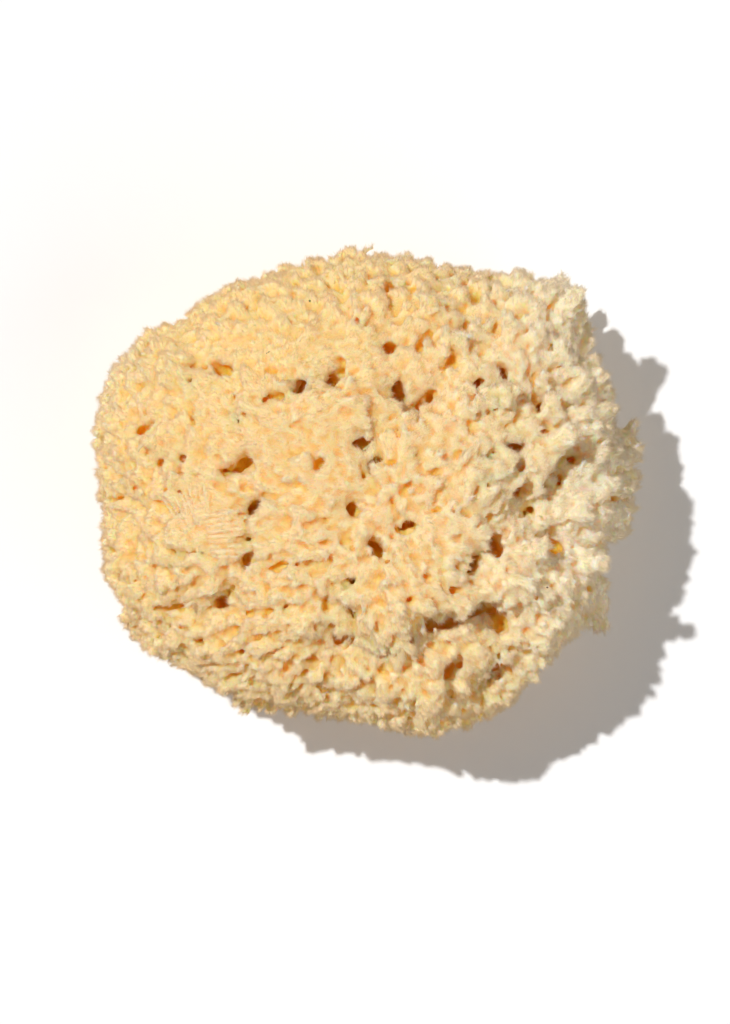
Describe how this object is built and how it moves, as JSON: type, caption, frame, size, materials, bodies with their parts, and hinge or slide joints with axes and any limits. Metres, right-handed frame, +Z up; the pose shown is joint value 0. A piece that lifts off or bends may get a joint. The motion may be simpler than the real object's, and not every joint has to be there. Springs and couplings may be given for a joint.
{
  "type": "sea sponge",
  "caption": "Natural sea wool sponge: a rounded dome of soft cream tufts pitted with canal mouths, trimmed flat underneath, for washing, painting or display.",
  "frame": {"origin": "on the flat cut underneath, below the middle of the sponge's plan box", "axes": "+X along the widest way across, +Y across it towards the top of the picture, +Z up from the cut to the crown"},
  "size_m": [0.1408, 0.124, 0.0788],
  "materials": {
    "sponge_fibre": "dry, matte, velvety cream fibre, paler at the tuft tips and amber in the pits"
  },
  "bodies": {
    "root": {"sponge": "sponge_fibre"}
  },
  "joints": []
}
